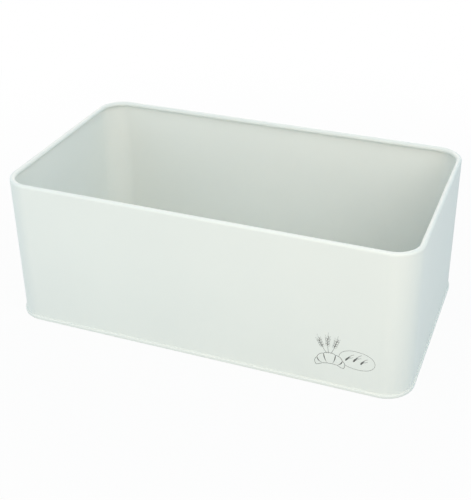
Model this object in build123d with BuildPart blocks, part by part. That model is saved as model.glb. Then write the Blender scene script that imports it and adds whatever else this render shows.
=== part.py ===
from build123d import *
import os
from math import acos, degrees

# Bread box: an open box of coated steel sheet in two pieces, a welded wall with a rolled
# rim and a pressed bottom panel that is folded onto it with a double seam.
# Millimetres. The origin is the middle of the base, on the surface that the box stands on.
# X runs along the length, the front faces -Y and Z is up.
# The length, the width and the corner radius are those of the outer face of the wall.

# Box
box_length = 360
box_width = 200
box_height = 135
corner_radius = 24
sheet_thickness = 0.4

# Rim: the wall's top edge is curled inward into a hollow bead, nearly a full turn
rim_bead_diameter = 4.6
rim_end_gap = 0.15

# Weld up the middle of the back, where the two ends of the wall's strip meet
weld_width = 2.2
weld_rise = 0.15
weld_end_gap = 0.5

# Seam round the foot: the wall's hook and the bottom panel's hook, folded over each other
seam_height = 3.2
seam_foot_radius = 0.8
fold_gap = 0.04
hook_end_gap = 0.15

# Bottom panel: set up inside the wall, with a shallow step round its middle
panel_depth = 4
panel_bend_radius = 1.2
panel_step_margin = 12
panel_step_width = 2
panel_step_height = 0.8
panel_step_radius = 1.6

# Each layer of the seam stands one pitch from the next, and is placed by the middle of
# its sheet, counted outward from the outer face of the wall
layer_pitch = sheet_thickness + fold_gap
half_sheet = sheet_thickness / 2
wall_line = -half_sheet
chuck_line = wall_line - layer_pitch
panel_hook_line = wall_line + layer_pitch
wall_hook_line = panel_hook_line + layer_pitch
skirt_line = wall_hook_line + layer_pitch

# Heights of the centres of the two tight folds: the wall's, which lies on the panel's
# edge, and the panel's, which is the top of the seam
lower_fold_height = sheet_thickness + fold_gap + layer_pitch + half_sheet
upper_fold_height = seam_height - layer_pitch - half_sheet

# Both pieces are one section of sheet, carried round the box's outline in plan.
# The section stands across the middle of the back, with its x outward and its y up.
section_plane = Plane(origin=(0, box_width / 2, 0), x_dir=(0, 1, 0), z_dir=(1, 0, 0))

with BuildLine() as outline:
    FilletPolyline(
        (0, box_width / 2),
        (box_length / 2, box_width / 2),
        (box_length / 2, -box_width / 2),
        (0, -box_width / 2),
        radius=corner_radius,
    )
    mirror(about=Plane.YZ)

os.makedirs("parts", exist_ok=True)

# Wall: one strip, hooked outward at its foot and curled inward at its rim
rim_radius = rim_bead_diameter / 2
rim_centre_height = box_height - rim_radius
rim_open_angle = degrees(acos(1 - (sheet_thickness + rim_end_gap) / rim_radius))
wall_hook_end = upper_fold_height - hook_end_gap

with BuildPart() as wall:
    with BuildSketch(section_plane):
        with BuildLine():
            Line((wall_hook_line, wall_hook_end), (wall_hook_line, lower_fold_height))
            CenterArc((panel_hook_line, lower_fold_height), layer_pitch, 0, -180)
            Line((wall_line, lower_fold_height), (wall_line, rim_centre_height))
            CenterArc(
                (-rim_radius, rim_centre_height), rim_radius - half_sheet, 0, 360 - rim_open_angle
            )
        trace(line_width=sheet_thickness)
    sweep(path=outline.line)

    # The weld's bead is low and rounded outside, and flush inside
    weld_foot = seam_height + weld_end_gap
    with BuildSketch(Plane.XY.offset(weld_foot)):
        with BuildLine():
            bead = ThreePointArc(
                (-weld_width / 2, box_width / 2),
                (0, box_width / 2 + weld_rise),
                (weld_width / 2, box_width / 2),
            )
            Polyline(
                bead @ 1,
                (weld_width / 2, box_width / 2 - half_sheet),
                (-weld_width / 2, box_width / 2 - half_sheet),
                bead @ 0,
            )
        make_face()
    extrude(amount=rim_centre_height - weld_end_gap - weld_foot)

wall.part.label = "wall"
export_step(wall.part, "parts/wall.step")

# Bottom panel: its edge goes down inside the wall, out under the wall's fold, up outside
# it as a skirt, and back in and down between the wall and the wall's hook
panel_line = panel_depth + half_sheet
field_line = panel_line + panel_step_height
field_margin = panel_step_margin + panel_step_width
panel_hook_end = lower_fold_height + hook_end_gap

with BuildPart() as bottom_panel:
    with BuildSketch(section_plane):
        with BuildLine():
            FilletPolyline(
                (-field_margin - panel_step_width, field_line),
                (-field_margin, field_line),
                (-panel_step_margin, panel_line),
                (chuck_line, panel_line),
                (chuck_line, half_sheet),
                (skirt_line, half_sheet),
                (skirt_line, upper_fold_height),
                radius=(
                    panel_step_radius,
                    panel_step_radius,
                    panel_bend_radius,
                    seam_foot_radius - half_sheet,
                    seam_foot_radius - half_sheet,
                ),
            )
            CenterArc((wall_hook_line, upper_fold_height), layer_pitch, 0, 180)
            Line((panel_hook_line, upper_fold_height), (panel_hook_line, panel_hook_end))
        trace(line_width=sheet_thickness)
    sweep(path=outline.line)

    # The middle of the panel is one flat field
    with BuildSketch(Plane.XY.offset(field_line - half_sheet)):
        field_inset = field_margin + panel_step_width
        RectangleRounded(
            box_length - 2 * field_inset,
            box_width - 2 * field_inset,
            corner_radius - field_inset,
        )
    extrude(amount=sheet_thickness)

bottom_panel.part.label = "bottom_panel"
export_step(bottom_panel.part, "parts/bottom_panel.step")
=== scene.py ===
from math import cos, pi, radians, sin
import bmesh
import bpy
import numpy as np
from mathutils import Matrix, Vector


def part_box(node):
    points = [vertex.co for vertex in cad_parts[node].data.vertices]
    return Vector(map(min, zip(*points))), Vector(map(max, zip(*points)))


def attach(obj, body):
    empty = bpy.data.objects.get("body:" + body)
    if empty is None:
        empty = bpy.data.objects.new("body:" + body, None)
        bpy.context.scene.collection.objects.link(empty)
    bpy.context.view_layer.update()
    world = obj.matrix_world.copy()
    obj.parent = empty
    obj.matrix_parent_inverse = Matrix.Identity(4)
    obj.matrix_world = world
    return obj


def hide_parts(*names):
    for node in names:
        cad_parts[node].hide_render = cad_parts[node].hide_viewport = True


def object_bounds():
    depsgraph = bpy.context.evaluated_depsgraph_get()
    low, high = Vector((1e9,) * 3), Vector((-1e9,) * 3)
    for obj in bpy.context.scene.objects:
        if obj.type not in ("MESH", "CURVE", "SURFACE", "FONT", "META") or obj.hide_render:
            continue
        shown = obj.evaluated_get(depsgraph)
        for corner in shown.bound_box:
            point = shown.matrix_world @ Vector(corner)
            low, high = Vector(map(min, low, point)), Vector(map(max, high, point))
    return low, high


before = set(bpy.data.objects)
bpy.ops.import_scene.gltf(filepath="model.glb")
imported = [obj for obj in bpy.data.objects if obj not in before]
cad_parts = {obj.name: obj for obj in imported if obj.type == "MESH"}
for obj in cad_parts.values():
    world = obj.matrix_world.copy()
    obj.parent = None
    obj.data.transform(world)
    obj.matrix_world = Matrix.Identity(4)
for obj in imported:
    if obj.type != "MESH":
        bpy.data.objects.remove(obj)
cad_low, cad_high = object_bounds()

# Wall: one strip of steel sheet, bent round four corners and welded end to end at the middle
# of the back. Its top edge is curled inward into a hollow bead, and its foot is turned out and
# up as the wall's hook of the seam. A satin coat covers it and fills the groove over the seam.
mm = 0.001
sheet = 0.4 * mm
fold_gap = 0.04 * mm
layer = sheet + fold_gap
corner_radius = 24 * mm
wall_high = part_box("wall")[1]
half_length = wall_high.x - 2 * layer
half_width = wall_high.y - 2 * layer
rim_top = wall_high.z
rim_radius = 2.3 * mm
rim_turn = 319.5
seam_top = 3.2 * mm
hook_end_gap = 0.15 * mm
lower_fold = 2 * layer + sheet / 2
upper_fold = seam_top - layer - sheet / 2
groove_fill = 0.27 * mm
groove_foot = 3.1 * mm
groove_top = groove_foot + groove_fill
weld_half_width = 1.1 * mm
weld_rise = 0.15 * mm
weld_fade = 1 * mm
weld_end_gap = 0.5 * mm
weld_low = seam_top + weld_end_gap
weld_high = rim_top - rim_radius - weld_end_gap


def layer_middle(number):
    """The middle of a layer of the seam, outward from the wall's outer face. The wall is 0."""
    return number * layer - sheet / 2


half_straight = half_length - corner_radius
corner_steps = 10
short_side_steps = 8
long_side_steps = 14
weld_side_steps = 4


def even_steps(half_count):
    """Even steps along a side's straight stretch, from -1 at one end to 1 at the other."""
    return [k / half_count for k in range(-half_count, half_count + 1)]


weld_step = weld_half_width / weld_side_steps / half_straight
weld_steps = [k * weld_step for k in range(-weld_side_steps - 1, weld_side_steps + 2)]
short_steps = even_steps(short_side_steps)
long_steps = sorted([step for step in even_steps(long_side_steps) if step] + weld_steps)


def box_outline():
    """Stations round the outer face of the wall, anticlockwise from the right front corner.
    Each is x, y, the outward direction, the side's number (right, back, left, front) and how
    far along its straight stretch it is, from -1 to 1."""
    rows = []
    for number in range(4):
        facing = number * pi / 2
        out = Vector((cos(facing), sin(facing)))
        along = Vector((-sin(facing), cos(facing)))
        reach, half = (half_width, half_length) if number % 2 else (half_length, half_width)
        straight = half - corner_radius
        for k in range(-corner_steps, 0):
            turned = Matrix.Rotation(pi / 4 * k / corner_steps, 2) @ out
            spot = out * (reach - corner_radius) - along * straight + turned * corner_radius
            rows.append((*spot, *turned, number, -1))
        for step in long_steps if number % 2 else short_steps:
            rows.append((*(out * reach + along * straight * step), *out, number, step))
        for k in range(1, corner_steps):
            turned = Matrix.Rotation(pi / 4 * k / corner_steps, 2) @ out
            spot = out * (reach - corner_radius) + along * straight + turned * corner_radius
            rows.append((*spot, *turned, number, 1))
    return np.array(rows)


stations = box_outline()
side_number = stations[:, 4:5].astype(int)
side_step = stations[:, 5:6]
shortest_step = fold_gap / 10


def run(start, end, steps):
    """A straight stretch of the sheet's middle line, each point with the way to its left."""
    start, end = Vector(start), Vector(end)
    ahead = (end - start).normalized()
    return [(*start.lerp(end, k / steps), -ahead.y, ahead.x) for k in range(steps + 1)]


def bend(centre, radius, start, turn, steps):
    """A bend of the sheet's middle line, in degrees, with a turn to the left positive."""
    rows = []
    inward = -1 if turn > 0 else 1
    for k in range(steps + 1):
        angle = radians(start + turn * k / steps)
        u, z = cos(angle), sin(angle)
        rows.append((centre[0] + radius * u, centre[1] + radius * z, inward * u, inward * z))
    return rows


def sheet_faces(stretches):
    """The sheet's two faces along its middle line, the right one and the left one."""
    line = np.array(sum(stretches, []))
    apart = np.linalg.norm(np.diff(line[:, :2], axis=0), axis=1) > shortest_step
    line = line[np.r_[True, apart]]
    return line[:, :2] - line[:, 2:] * sheet / 2, line[:, :2] + line[:, 2:] * sheet / 2


def carried_round(face, shift=0):
    """One face of the sheet at every station: x, y and z, moved outward by the shift."""
    outward = face[None, :, 0] + shift * np.ones((len(stations), 1))
    spots = stations[:, None, :2] + stations[:, None, 2:4] * outward[..., None]
    heights = np.broadcast_to(face[None, :, 1], outward.shape)
    return np.dstack([spots, heights])


short_side_bow = 0.15 * mm
long_side_bow = 0.3 * mm
side_bows = np.array([short_side_bow, long_side_bow, short_side_bow, long_side_bow])
ripple = 0.03 * mm
ripple_along = 7
ripple_up = 5
ripple_shift = 2.1


def wall_bow(number, step, height):
    """How far a thin flat side stands out between its stiff rim and its stiff seam."""
    flat = np.clip((height - seam_top) / (rim_top - 2 * rim_radius - seam_top), 0, 1)
    held = np.sin(pi * flat) ** 2 * (1 - step**2) ** 2
    wave = np.sin(ripple_along * step + ripple_shift * number) * np.cos(ripple_up * flat + number)
    return held * (side_bows[number] + wave * ripple)


def filled_groove(height):
    """The coat that has run into the groove over the seam, where it dries in a small hollow."""
    turned = np.clip((groove_top - height) / groove_fill, 0, 1)
    return groove_fill * (1 - np.sqrt(1 - turned**2)) * (height > groove_foot - fold_gap)


def weld_bead(number, step, height):
    """The low rounded bead up the middle of the back, faded out at its two ends."""
    across = step * half_straight / weld_half_width
    low_end = np.clip((height - weld_low) / weld_fade, 0, 1)
    high_end = np.clip((weld_high - height) / weld_fade, 0, 1)
    return (number == 1) * np.clip(1 - across**2, 0, 1) * low_end * high_end * weld_rise


def quads(rows, closed):
    """The faces between neighbouring rows of vertex numbers, and round the box."""
    ahead = np.roll(rows, -1, 0)
    if closed:
        corners = (rows, ahead, np.roll(ahead, -1, 1), np.roll(rows, -1, 1))
    else:
        corners = (rows[:, :-1], ahead[:, :-1], ahead[:, 1:], rows[:, 1:])
    return np.stack(corners, -1).reshape(-1, 4).tolist()


sharp_angle = 35


def finished_piece(name, vertices, faces, material):
    """A closed mesh with smooth faces between its sharp edges, fixed to the box."""
    mesh = bpy.data.meshes.new(name)
    mesh.from_pydata(vertices, [], faces)
    shape = bmesh.new()
    shape.from_mesh(mesh)
    bmesh.ops.recalc_face_normals(shape, faces=shape.faces)
    shape.to_mesh(mesh)
    shape.free()
    mesh.shade_smooth()
    mesh.set_sharp_from_angle(angle=radians(sharp_angle))
    mesh.materials.append(material)
    piece = bpy.data.objects.new(name, mesh)
    bpy.context.collection.objects.link(piece)
    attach(piece, "root")
    return piece


coat_pale = (0.798, 0.826, 0.794, 1)
coat_deep = (0.783, 0.812, 0.782, 1)
coat_sheen = 0.25
coat_smoothest = 0.43
coat_roughest = 0.53
cloud_scale = 9
cloud_detail = 3
cloud_low = 0.35
cloud_high = 0.65
peel_scale = 800
peel_detail = 1
peel_strength = 0.5
peel_height = 0.02 * mm


def satin_coat():
    """Off-white coat, sprayed and baked: nearly even, with a faint orange peel."""
    coat = bpy.data.materials.new("satin_coat")
    coat.use_nodes = True
    nodes, link = coat.node_tree.nodes, coat.node_tree.links.new
    shader = nodes["Principled BSDF"]
    shader.inputs["Specular IOR Level"].default_value = coat_sheen
    place = nodes.new("ShaderNodeTexCoord")
    cloud = nodes.new("ShaderNodeTexNoise")
    cloud.inputs["Scale"].default_value = cloud_scale
    cloud.inputs["Detail"].default_value = cloud_detail
    tint = nodes.new("ShaderNodeValToRGB")
    tint.color_ramp.elements[0].position = cloud_low
    tint.color_ramp.elements[0].color = coat_deep
    tint.color_ramp.elements[1].position = cloud_high
    tint.color_ramp.elements[1].color = coat_pale
    gloss = nodes.new("ShaderNodeMapRange")
    gloss.inputs["To Min"].default_value = coat_smoothest
    gloss.inputs["To Max"].default_value = coat_roughest
    peel = nodes.new("ShaderNodeTexNoise")
    peel.inputs["Scale"].default_value = peel_scale
    peel.inputs["Detail"].default_value = peel_detail
    relief = nodes.new("ShaderNodeBump")
    relief.inputs["Strength"].default_value = peel_strength
    relief.inputs["Distance"].default_value = peel_height
    link(place.outputs["Object"], cloud.inputs["Vector"])
    link(place.outputs["Object"], peel.inputs["Vector"])
    link(cloud.outputs["Fac"], tint.inputs["Fac"])
    link(cloud.outputs["Fac"], gloss.inputs["Value"])
    link(peel.outputs["Fac"], relief.inputs["Height"])
    link(tint.outputs["Color"], shader.inputs["Base Color"])
    link(gloss.outputs["Result"], shader.inputs["Roughness"])
    link(relief.outputs["Normal"], shader.inputs["Normal"])
    return coat


coat = satin_coat()
wall_line = layer_middle(0)
wall_hook_line = layer_middle(2)
rim_middle = rim_top - rim_radius
outer_face, inner_face = sheet_faces([
    run((wall_hook_line, upper_fold - hook_end_gap), (wall_hook_line, lower_fold), steps=2),
    bend((layer_middle(1), lower_fold), layer, 0, -180, steps=10),
    run((wall_line, lower_fold), (wall_line, groove_foot - 2 * fold_gap), steps=2),
    run((wall_line, groove_foot), (wall_line, groove_top), steps=8),
    run((wall_line, groove_top), (wall_line, weld_low), steps=1),
    run((wall_line, weld_low), (wall_line, weld_low + weld_fade), steps=2),
    run((wall_line, weld_low + weld_fade), (wall_line, weld_high - weld_fade), steps=24),
    run((wall_line, weld_high - weld_fade), (wall_line, weld_high), steps=2),
    run((wall_line, weld_high), (wall_line, rim_middle), steps=1),
    bend((-rim_radius, rim_middle), rim_radius - sheet / 2, 0, rim_turn, steps=32),
])
on_flat = (outer_face[:, 0] > -sheet / 2) & (outer_face[:, 0] < sheet / 4)
outer_bow = wall_bow(side_number, side_step, outer_face[:, 1]) * on_flat
inner_bow = wall_bow(side_number, side_step, inner_face[:, 1]) * on_flat
outer_bead = weld_bead(side_number, side_step, outer_face[:, 1]) * on_flat
groove_coat = filled_groove(outer_face[:, 1]) * on_flat
skins = np.concatenate([
    carried_round(outer_face, outer_bow + outer_bead + groove_coat),
    carried_round(inner_face[::-1], inner_bow[:, ::-1]),
], axis=1)
numbers = np.arange(skins.shape[0] * skins.shape[1]).reshape(skins.shape[:2])
wall = finished_piece("welded_wall", skins.reshape(-1, 3).tolist(), quads(numbers, True), coat)
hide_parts("wall")

# Bottom panel: one pressed sheet with the same coat, set up inside the wall, with a
# shallow step round its flat field. Its edge goes down inside the wall, out under it, up
# outside as a skirt, and back in over the wall's hook, so the seam is also the foot.
panel_underside = 4 * mm
panel_bend_radius = 1.2 * mm
seam_foot_radius = 0.8 * mm
foot_radius = seam_foot_radius - sheet / 2
step_inset = 12 * mm
step_width = 2 * mm
step_rise = 0.8 * mm
field_inset = step_inset + 2 * step_width
field_crown = 0.2 * mm
panel_middle = panel_underside + sheet / 2
field_middle = panel_middle + step_rise
panel_bend = panel_middle - panel_bend_radius
foot_bend = foot_radius + sheet / 2
inside_line = layer_middle(-1)
panel_hook_line = layer_middle(1)
skirt_line = layer_middle(3)
slope_steps = 12


def pressed_step():
    """The step's slope from the field down to the panel, eased in and out like a cosine."""
    rows = []
    for k in range(slope_steps + 1):
        part = k / slope_steps
        across = -step_inset - step_width + step_width * part
        height = panel_middle + step_rise * (1 + cos(pi * part)) / 2
        slope = Vector((step_width, -step_rise * pi / 2 * sin(pi * part))).normalized()
        rows.append((across, height, -slope.y, slope.x))
    return rows


underside, upperside = sheet_faces([
    run((-field_inset, field_middle), (-step_inset - step_width, field_middle), steps=2),
    pressed_step(),
    run((-step_inset, panel_middle), (inside_line - panel_bend_radius, panel_middle), steps=4),
    bend((inside_line - panel_bend_radius, panel_bend), panel_bend_radius, 90, -90, steps=8),
    run((inside_line, panel_bend), (inside_line, foot_bend), steps=2),
    bend((inside_line + foot_radius, foot_bend), foot_radius, 180, 90, steps=6),
    bend((skirt_line - foot_radius, foot_bend), foot_radius, 270, 90, steps=6),
    run((skirt_line, foot_bend), (skirt_line, upper_fold), steps=3),
    bend((wall_hook_line, upper_fold), layer, 0, 180, steps=12),
    run((panel_hook_line, upper_fold), (panel_hook_line, lower_fold + hook_end_gap), steps=2),
])


def field_grid(ring):
    """Fills the flat middle from its ring of points, side by side, as a stretched net."""
    starts = [int(np.argmax(stations[:, 4] == number)) for number in range(4)] + [len(ring)]
    ring = np.vstack([ring, ring[:1]])
    right, back, left, front = [ring[a:b + 1] for a, b in zip(starts, starts[1:])]
    u = np.linspace(0, 1, len(front))[:, None, None]
    v = np.linspace(0, 1, len(right))[None, :, None]
    flat = (1 - v) * front[:, None] + v * back[::-1][:, None]
    flat = flat + (1 - u) * left[::-1][None] + u * right[None]
    ends = (1 - u) * (1 - v) * front[0] + u * (1 - v) * front[-1]
    ends = ends + (1 - u) * v * back[-1] + u * v * back[0]
    return flat - ends


def net_numbers(first_inside, ring_numbers, shape):
    """Vertex numbers of a filled field: its ring's own along the edges, new ones inside."""
    across, deep = shape
    net = np.zeros(shape, int)
    ring = np.append(ring_numbers, ring_numbers[0])
    net[across - 1, :] = ring[:deep]
    net[::-1, deep - 1] = ring[deep - 1:deep + across - 1]
    net[0, ::-1] = ring[deep + across - 2:2 * deep + across - 2]
    net[:, 0] = ring[2 * deep + across - 3:]
    inside = (across - 2) * (deep - 2)
    net[1:-1, 1:-1] = first_inside + np.arange(inside).reshape(across - 2, deep - 2)
    return net


under, upper = carried_round(underside), carried_round(upperside)
vertices = np.concatenate([under, upper[:, ::-1]], axis=1)
numbers = np.arange(vertices.shape[0] * vertices.shape[1]).reshape(vertices.shape[:2])
vertices = vertices.reshape(-1, 3).tolist()
faces = quads(numbers, False)
for face_ring, ring_numbers in ((under[:, 0], numbers[:, 0]), (upper[:, 0], numbers[:, -1])):
    net = field_grid(face_ring)
    x_share, y_share = (abs(net[..., k]) / abs(face_ring[:, k]).max() for k in (0, 1))
    net[..., 2] += field_crown * (1 - x_share**2) ** 2 * (1 - y_share**2) ** 2
    net_vertices = net_numbers(len(vertices), ring_numbers, net.shape[:2])
    vertices += net[1:-1, 1:-1].reshape(-1, 3).tolist()
    near, far = net_vertices[:-1], net_vertices[1:]
    corners = (near[:, :-1], far[:, :-1], far[:, 1:], near[:, 1:])
    faces += np.stack(corners, -1).reshape(-1, 4).tolist()
panel = finished_piece("pressed_bottom", vertices, faces, coat)
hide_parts("bottom_panel")

# Print: a small grey line drawing on the front, low on the right: a crescent roll with three
# ears of wheat over it, and an oval loaf with three cuts. It is thin ink, printed flat on the
# coat and baked on.
print_left = 103 * mm
print_foot = 20 * mm
ink_rise = 0.03 * mm
ink_sink = 0.05 * mm
ink_lap = 0.003 * mm
ink_laps = 5
ink_corners = 4
outline_width = 0.27
crust_width = 0.36
crease_width = 0.85
cut_width = 1.5
grain_width = 0.6
lip_width = 0.2
hair_width = 0.13
print_vertices, print_faces = [], []


def stroke(points, widths):
    """A flat closed stroke of ink through points in millimetres on the print's own sheet.
    Its rise differs a little from the last stroke's, so that no two lie in one plane."""
    points = np.array(points, float)
    widths = np.broadcast_to(widths, len(points)) / 2
    ahead = np.gradient(points, axis=0)
    ahead /= np.linalg.norm(ahead, axis=1)[:, None]
    across = np.stack([-ahead[:, 1], ahead[:, 0]], 1) * widths[:, None]
    first = len(print_vertices)
    top = ink_rise + ink_lap * (first // ink_corners % ink_laps)
    for left, right in zip(points + across, points - across):
        for edge, rise in ((left, top), (right, top), (right, -ink_sink), (left, -ink_sink)):
            x = print_left + edge[0] * mm
            z = print_foot + edge[1] * mm
            front = half_width + wall_bow(3, x / half_straight, z)
            print_vertices.append((x, -front - rise, z))
    last = len(print_vertices) - ink_corners
    for k in range(first, last, ink_corners):
        for a, b in ((0, 1), (1, 2), (2, 3), (3, 0)):
            print_faces.append((k + a, k + b, k + b + ink_corners, k + a + ink_corners))
    print_faces.append((first, first + 1, first + 2, first + 3))
    print_faces.append((last + 3, last + 2, last + 1, last))


def arc_between(start, end, sag, steps=12):
    """Points of a shallow arc whose middle stands off its chord, to the left if positive."""
    start, end = Vector(start), Vector(end)
    chord = end - start
    left = Vector((-chord.y, chord.x)).normalized()
    return [start + chord * t + left * sag * 4 * t * (1 - t) for t in np.linspace(0, 1, steps + 1)]


taper_power = 1.2


def tapered(points, broadest, thinnest, where):
    """A stroke that is broadest part of the way along and runs out thin at both ends."""
    shares = np.linspace(0, 1, len(points)) ** (np.log(0.5) / np.log(where))
    stroke(points, thinnest + (broadest - thinnest) * np.sin(pi * shares) ** taper_power)


loaf_start = -126
loaf_end = 186
loaf_step = 4
loaf_bluntness = 0.86


def loaf(middle, long, short, tilt):
    """The outline of an oval loaf with blunt ends, open where the roll lies before it."""
    rows = []
    for angle in range(loaf_start, loaf_end + 1, loaf_step):
        u, z = cos(radians(angle)), sin(radians(angle))
        spot = Vector((long * abs(u) ** loaf_bluntness * (1 if u > 0 else -1), short * z))
        rows.append(Vector(middle) + Matrix.Rotation(radians(tilt), 2) @ spot)
    stroke(rows, outline_width)


long_lip_sag = 1
short_lip_length = 0.8
short_lip_shift = Vector((1.1, -1.2))
short_lip_sag = 0.5
dark_foot_length = 0.65
dark_foot_sag = 0.65
broad_early = 0.3
broad_midway = 0.5
shading_steps = 20


def cut(foot, tip):
    """A baker's cut in the crust: a dark foot, a long lip above it and a shorter one below."""
    foot, tip = Vector(foot), Vector(tip)
    short_tip = foot.lerp(tip, short_lip_length) + short_lip_shift
    dark_tip = foot.lerp(tip, dark_foot_length)
    stroke(arc_between(foot, tip, long_lip_sag), outline_width)
    stroke(arc_between(foot, short_tip, short_lip_sag), lip_width)
    shading = arc_between(foot, dark_tip, dark_foot_sag, shading_steps)
    tapered(shading, cut_width, hair_width, broad_early)


turn_edges = (0, 0.17, 0.37, 0.63, 0.83, 1)
turn_points = 13
turn_bulge = 0.75
turn_roundness = 0.7
inner_bulge = 0.3
horn_thickness = 0.22
body_roundness = 0.8
horn_sags = (-0.9, 0.9)
crease_sags = (-0.9, -0.6, 0.6, 0.9)
crease_reach = -0.9


def crescent(middle, radius, start, end, thick):
    """A crescent roll: an arched body in five bulging turns of dough, thin at its horns."""

    def spot(share, side, bulge=0):
        angle = radians(start + (end - start) * share)
        swell = (1 - horn_thickness) * sin(pi * share) ** body_roundness
        half = thick * (horn_thickness + swell)
        return Vector(middle) + Vector((cos(angle), sin(angle))) * (radius + side * half + bulge)

    bulges = turn_bulge * np.sin(pi * np.linspace(0, 1, turn_points)) ** turn_roundness
    for first, last in zip(turn_edges, turn_edges[1:]):
        shares = np.linspace(first, last, turn_points)
        stroke([spot(share, 1, bulge) for share, bulge in zip(shares, bulges)], crust_width)
        inner = zip(shares, -bulges * inner_bulge)
        stroke([spot(share, -1, bulge) for share, bulge in inner], crust_width)
    for share, sag in enumerate(horn_sags):
        stroke(arc_between(spot(share, 1), spot(share, -1), sag), crust_width)
    for share, sag in zip(turn_edges[1:-1], crease_sags):
        crease = arc_between(spot(share, 1), spot(share, crease_reach), sag)
        tapered(crease, crease_width, hair_width, broad_early)


grain_pairs = 3
bearded_pairs = 2
ear_steps = 40
ear_foot = 17
ear_top = 36
ear_tip = 34
grain_splay = 32
grain_length = 3.4
grain_shortening = 0.15
grain_bulge = 0.75
beard_splay = 14
beard_length = 3
beard_sag = 0.2


def wheat_ear(root, tip, sag):
    """A stalk with two rows of grains, one grain at its tip, and a beard of fine hairs.
    Each grain is a thin line on one side and a thick shaded one on the other."""
    line = arc_between(root, tip, sag, ear_steps)
    stroke(line[:ear_foot], outline_width)
    for k in range(grain_pairs + 1):
        spot = line[ear_foot + round((ear_top - ear_foot) * k / grain_pairs)]
        ahead = (line[-1] - (line[ear_tip] if k == grain_pairs else spot)).normalized()
        for side in (-1, 1) if k < grain_pairs else (0,):
            splayed = Matrix.Rotation(radians(grain_splay * side), 2) @ ahead
            end = spot + splayed * (grain_length - grain_shortening * k)
            bulge = grain_bulge * (side or 1)
            stroke(arc_between(spot, end, bulge), hair_width)
            shading = arc_between(spot, end, -bulge, shading_steps)
            tapered(shading, grain_width, hair_width, broad_midway)
            if k >= grain_pairs - bearded_pairs:
                beard = Matrix.Rotation(radians(beard_splay * side), 2) @ ahead * beard_length
                stroke(arc_between(end, end + beard, -beard_sag * side), hair_width)


loaf((34.7, 11.2), 14.8, 8.6, -4)
cut((25.4, 9.0), (32.0, 16.4))
cut((31.8, 9.2), (38.4, 17.4))
cut((38.0, 8.2), (43.4, 14.6))
crescent((12.9, -4.2), 12.2, 158, 28, 4.9)
wheat_ear((9.8, 12.4), (2.8, 25.0), 0.6)
wheat_ear((11.4, 12.6), (10.2, 28.4), 0.6)
wheat_ear((13.0, 12.6), (17.8, 27.0), -0.6)


ink_deep = (0.072, 0.076, 0.072, 1)
ink_pale = (0.125, 0.132, 0.125, 1)
ink_roughness = 0.55
ink_grain_scale = 1500
ink_grain_low = 0.3
ink_grain_high = 0.7


def grey_ink():
    """Screen-printed grey ink, a little uneven in depth, duller than the coat."""
    ink = bpy.data.materials.new("grey_ink")
    ink.use_nodes = True
    nodes, link = ink.node_tree.nodes, ink.node_tree.links.new
    shader = nodes["Principled BSDF"]
    shader.inputs["Roughness"].default_value = ink_roughness
    place = nodes.new("ShaderNodeTexCoord")
    grain = nodes.new("ShaderNodeTexNoise")
    grain.inputs["Scale"].default_value = ink_grain_scale
    depth = nodes.new("ShaderNodeValToRGB")
    depth.color_ramp.elements[0].position = ink_grain_low
    depth.color_ramp.elements[0].color = ink_deep
    depth.color_ramp.elements[1].position = ink_grain_high
    depth.color_ramp.elements[1].color = ink_pale
    link(place.outputs["Object"], grain.inputs["Vector"])
    link(grain.outputs["Fac"], depth.inputs["Fac"])
    link(depth.outputs["Color"], shader.inputs["Base Color"])
    return ink


front_print = finished_piece("front_print", print_vertices, print_faces, grey_ink())

# Floor: a plain matt floor that the box stands on. It keeps a faint shadow under the box
# and fades into the white background further out.
floor_radius = 4
floor_gap = 0.02 * mm
floor_sides = 96
floor_paint_colour = (0.54, 0.57, 0.57, 1)
lift_by_box = 0.95
fade_start = 0.15
fade_end = 0.7


def seen_directly(nodes, link):
    """Light paths that show the background itself: to the camera, by gloss, through glass."""
    path = nodes.new("ShaderNodeLightPath")
    either = nodes.new("ShaderNodeMath")
    either.operation = "MAXIMUM"
    link(path.outputs["Is Camera Ray"], either.inputs[0])
    link(path.outputs["Is Glossy Ray"], either.inputs[1])
    any_of = nodes.new("ShaderNodeMath")
    any_of.operation = "MAXIMUM"
    link(either.outputs[0], any_of.inputs[0])
    link(path.outputs["Is Transmission Ray"], any_of.inputs[1])
    return any_of.outputs[0]


def pale_floor():
    """A matt white floor, seen ever nearer to the background's white away from the box."""
    floor_paint = bpy.data.materials.new("pale_floor")
    floor_paint.use_nodes = True
    nodes, link = floor_paint.node_tree.nodes, floor_paint.node_tree.links.new
    nodes.remove(nodes["Principled BSDF"])
    matt = nodes.new("ShaderNodeBsdfDiffuse")
    matt.inputs["Color"].default_value = floor_paint_colour
    white = nodes.new("ShaderNodeEmission")
    place = nodes.new("ShaderNodeTexCoord")
    away = nodes.new("ShaderNodeVectorMath")
    away.operation = "LENGTH"
    fade = nodes.new("ShaderNodeMapRange")
    fade.interpolation_type = "SMOOTHSTEP"
    fade.inputs["From Min"].default_value = fade_start
    fade.inputs["From Max"].default_value = fade_end
    fade.inputs["To Min"].default_value = lift_by_box
    lift = nodes.new("ShaderNodeMath")
    lift.operation = "MULTIPLY"
    blend = nodes.new("ShaderNodeMixShader")
    link(place.outputs["Object"], away.inputs[0])
    link(away.outputs["Value"], fade.inputs["Value"])
    link(seen_directly(nodes, link), lift.inputs[0])
    link(fade.outputs["Result"], lift.inputs[1])
    link(lift.outputs[0], blend.inputs["Fac"])
    link(matt.outputs["BSDF"], blend.inputs[1])
    link(white.outputs["Emission"], blend.inputs[2])
    link(blend.outputs["Shader"], nodes["Material Output"].inputs["Surface"])
    return floor_paint


bpy.ops.mesh.primitive_circle_add(
    vertices=floor_sides,
    radius=floor_radius,
    fill_type="NGON",
    location=(0, 0, cad_low.z - floor_gap),
)
floor = bpy.context.object
floor.name = "floor"
floor.data.materials.append(pale_floor())

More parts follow.
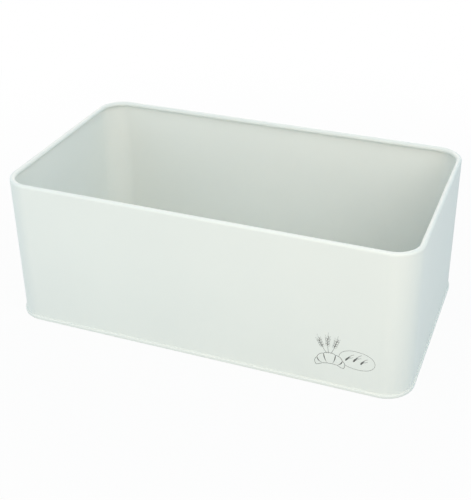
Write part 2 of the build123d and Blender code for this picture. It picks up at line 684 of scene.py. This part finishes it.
# Light: an even, cool surround like a shaded white room. A broad warm lamp stands close, above
# the right of the front, and a small one low on the left of it. The right lamp is cooler and
# further off, the rim lamp whitens the rim from behind, and two low lamps light the far sides.
surround_colour = (0.62, 0.846, 1, 1)
surround_strength = 0.678
surround = bpy.data.worlds.new("surround")
surround.use_nodes = True
nodes, link = surround.node_tree.nodes, surround.node_tree.links.new
ambient = nodes["Background"]
ambient.inputs["Color"].default_value = surround_colour
ambient.inputs["Strength"].default_value = surround_strength
backdrop = nodes.new("ShaderNodeBackground")
backdrop.inputs["Color"].default_value = (1, 1, 1, 1)
choice = nodes.new("ShaderNodeMixShader")
link(seen_directly(nodes, link), choice.inputs["Fac"])
link(ambient.outputs["Background"], choice.inputs[1])
link(backdrop.outputs["Background"], choice.inputs[2])
link(choice.outputs["Shader"], nodes["World Output"].inputs["Surface"])
bpy.context.scene.world = surround


def soft_lamp(name, turn, rise, distance, width, power, colour):
    """A square soft lamp aimed at the box. Turned to the right and raised in degrees, as the
    camera is, it has its distance and width in metres and its power in watts."""
    lamp = bpy.data.lights.new(name, "AREA")
    lamp.shape = "SQUARE"
    lamp.size = width
    lamp.energy = power
    lamp.color = colour
    holder = bpy.data.objects.new(name, lamp)
    turn, rise = radians(turn), radians(rise)
    back = Vector((sin(turn) * cos(rise), -cos(turn) * cos(rise), sin(rise)))
    holder.location = back * distance
    holder.rotation_euler = back.to_track_quat("Z", "Y").to_euler()
    holder.visible_camera = False
    bpy.context.collection.objects.link(holder)


soft_lamp("left_lamp", -30, 20, 0.9, 0.6, 1.57, (1, 0.94, 0.86))
soft_lamp("front_lamp", 30, 40, 0.9, 0.9, 3.85, (1, 0.745, 0.525))
soft_lamp("right_lamp", 66, 43, 2.5, 1.2, 9.1, (0.885, 0.97, 1))
soft_lamp("rim_lamp", -150, 40, 0.9, 0.6, 2.6, (1, 0.7, 0.53))
soft_lamp("low_back_lamp", 180, 8, 2.5, 1.2, 12, (1, 0.92, 0.84))
soft_lamp("low_left_lamp", -105, 6, 2.5, 1.2, 10, (1, 0.95, 0.88))

# Camera: on the photograph's line of sight, to the box's right and above it, with its
# lens and framing taken from the box's outline in the 471 x 500 picture.
picture_width = 471
picture_height = 500
axis_pixel = (250, 210)
focal_pixels = 948.4
sensor = 36
view_turn = radians(20.853)
view_rise = radians(28.654)
view_roll = radians(-0.339)
view_distance = 859.9 * mm
aim_right = 9 * mm
aim_up = 20.1 * mm

back = Vector((sin(view_turn) * cos(view_rise), -cos(view_turn) * cos(view_rise), sin(view_rise)))
right = Vector((cos(view_turn), sin(view_turn), 0))
up = back.cross(right)
middle = Vector((0, 0, rim_top / 2))
place = middle + back * view_distance + right * aim_right + up * aim_up
across = right * cos(view_roll) + up * sin(view_roll)
upward = up * cos(view_roll) - right * sin(view_roll)
camera = bpy.data.objects.new("camera", bpy.data.cameras.new("camera"))
camera.matrix_world = Matrix((
    (across.x, upward.x, back.x, place.x),
    (across.y, upward.y, back.y, place.y),
    (across.z, upward.z, back.z, place.z),
    (0, 0, 0, 1),
))
camera.data.sensor_width = sensor
camera.data.lens = focal_pixels / picture_height * sensor
camera.data.shift_x = (picture_width / 2 - axis_pixel[0]) / picture_height
camera.data.shift_y = (axis_pixel[1] - picture_height / 2) / picture_height
bpy.context.collection.objects.link(camera)
bpy.context.scene.camera = camera

bpy.context.scene.view_settings.view_transform = "Standard"
